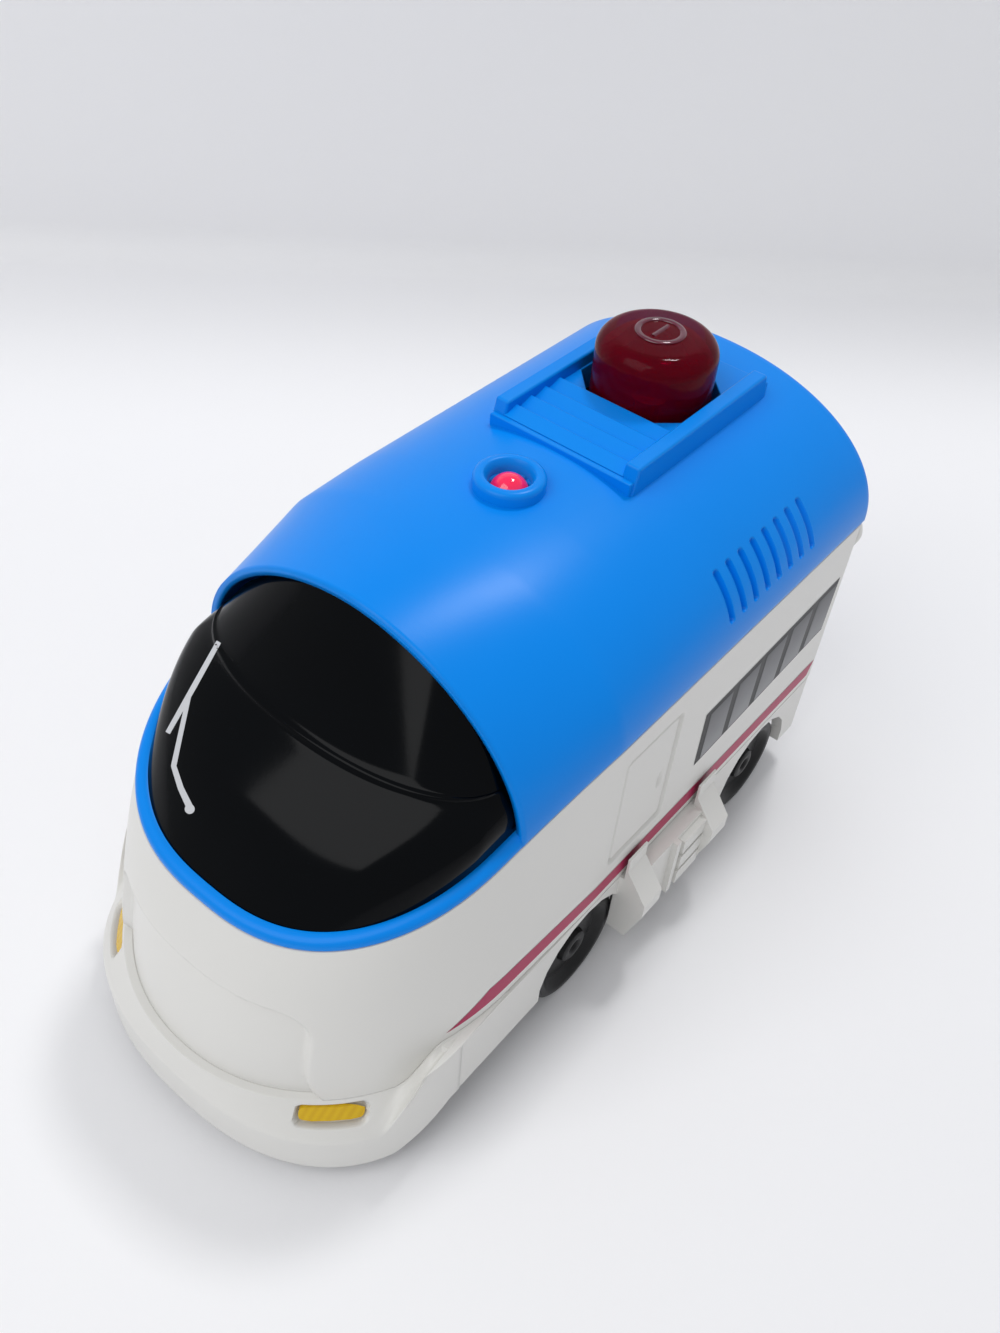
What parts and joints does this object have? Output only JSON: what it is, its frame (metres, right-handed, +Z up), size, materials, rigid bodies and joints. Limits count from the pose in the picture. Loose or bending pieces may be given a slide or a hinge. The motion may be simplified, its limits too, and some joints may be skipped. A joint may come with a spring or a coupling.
{
  "type": "toy train engine",
  "caption": "Motorised toy railway engine with a bullet nose, wraparound black windscreen, push-button roof dome, geared rear wheels and a swinging coupler.",
  "frame": {"origin": "on the floor plane, at the middle of the engine's footprint", "axes": "+Z up, -Y towards the nose, +Y towards the coupler, +X towards the side seen in the picture"},
  "size_m": [0.0768, 0.1402, 0.0906],
  "materials": {
    "white_plastic": "satin white moulding",
    "blue_plastic": "semi-gloss blue moulding",
    "black_gloss": "high gloss black",
    "wheel_plastic": "black moulding",
    "tyre_rubber": "smooth rubber ring",
    "red_clear": "clear deep red",
    "lamp_pink": "diffuse pink lens",
    "lamp_yellow": "yellow insert",
    "steel": "bright plated",
    "brass": "machined",
    "motor_can": "plated can",
    "cell_can": "plain wrapped can",
    "gear_plastic": "natural moulding",
    "board": "green laminate",
    "part_black": "black moulding",
    "lead_red": "insulated wire",
    "lead_black": "insulated wire"
  },
  "bodies": {
    "engine": {"body_shell": "white_plastic", "headlamp_right": "lamp_yellow", "headlamp_left": "lamp_yellow", "roof_shell": "blue_plastic", "windscreen": "black_gloss", "gearbox_left": "gear_plastic", "gearbox_right": "gear_plastic", "chassis_tray": "white_plastic", "battery_door": "white_plastic", "body_screw_1": "steel", "body_screw_2": "steel", "body_screw_3": "steel", "body_screw_4": "steel", "battery_door_screw": "steel", "battery_1": "cell_can", "battery_2": "cell_can", "battery_3": "cell_can", "contact_positive": "steel", "contact_bridge_right": "steel", "contact_bridge_left": "steel", "contact_negative": "steel", "motor": "motor_can", "first_gear_pin": "steel", "second_gear_pin": "steel", "coupler_screw": "steel", "circuit_board": "board", "power_switch": "part_black", "ir_receiver": "part_black", "indicator_lamp": "lamp_pink", "battery_lead_red": "lead_red", "battery_lead_black": "lead_black", "motor_lead_red": "lead_red", "motor_lead_black": "lead_black"},
    "front_wheelset": {"front_axle": "steel", "front_wheel_right": "wheel_plastic", "front_wheel_left": "wheel_plastic"},
    "rear_wheelset": {"rear_axle": "steel", "rear_wheel_right": "wheel_plastic", "rear_wheel_left": "wheel_plastic", "rear_tyre_right": "tyre_rubber", "rear_tyre_left": "tyre_rubber", "axle_gear": "gear_plastic"},
    "second_stage": {"second_gear": "gear_plastic"},
    "first_stage": {"first_gear": "gear_plastic"},
    "pinion": {"motor_pinion": "brass"},
    "button": {"power_button": "red_clear", "switch_plunger": "gear_plastic"},
    "coupler": {"rear_coupler": "white_plastic"}
  },
  "joints": [
    {"name": "rear_axle_spin", "type": "hinge", "parent": "engine", "child": "rear_wheelset", "pos_m": [0, 0.0411, 0.0102], "axis": [1, 0, 0], "continuous": true},
    {"name": "second_gear_spin", "type": "hinge", "parent": "engine", "child": "second_stage", "pos_m": [0, 0.04383, 0.01888], "axis": [1, 0, 0], "continuous": true},
    {"name": "first_gear_spin", "type": "hinge", "parent": "engine", "child": "first_stage", "pos_m": [0, 0.04143, 0.02818], "axis": [1, 0, 0], "continuous": true},
    {"name": "pinion_spin", "type": "hinge", "parent": "engine", "child": "pinion", "pos_m": [0, 0.0387, 0.03686], "axis": [1, 0, 0], "continuous": true},
    {"name": "front_axle_spin", "type": "hinge", "parent": "engine", "child": "front_wheelset", "pos_m": [0, -0.0124, 0.0102], "axis": [1, 0, 0], "continuous": true},
    {"name": "button_press", "type": "slide", "parent": "engine", "child": "button", "axis": [0, 0, 1], "range_m": [-0.002, 0], "stiffness_N_per_m": 400, "springref_m": 0.001},
    {"name": "coupler_swing", "type": "hinge", "parent": "engine", "child": "coupler", "pos_m": [0, 0.05643, 0.0111], "axis": [0, 0, 1], "range_deg": [-22, 22]}
  ],
  "couplings": [
    {"joint": "second_gear_spin", "follows": "rear_axle_spin", "ratio": -2},
    {"joint": "first_gear_spin", "follows": "rear_axle_spin", "ratio": 4.3333},
    {"joint": "pinion_spin", "follows": "rear_axle_spin", "ratio": -11.267}
  ]
}
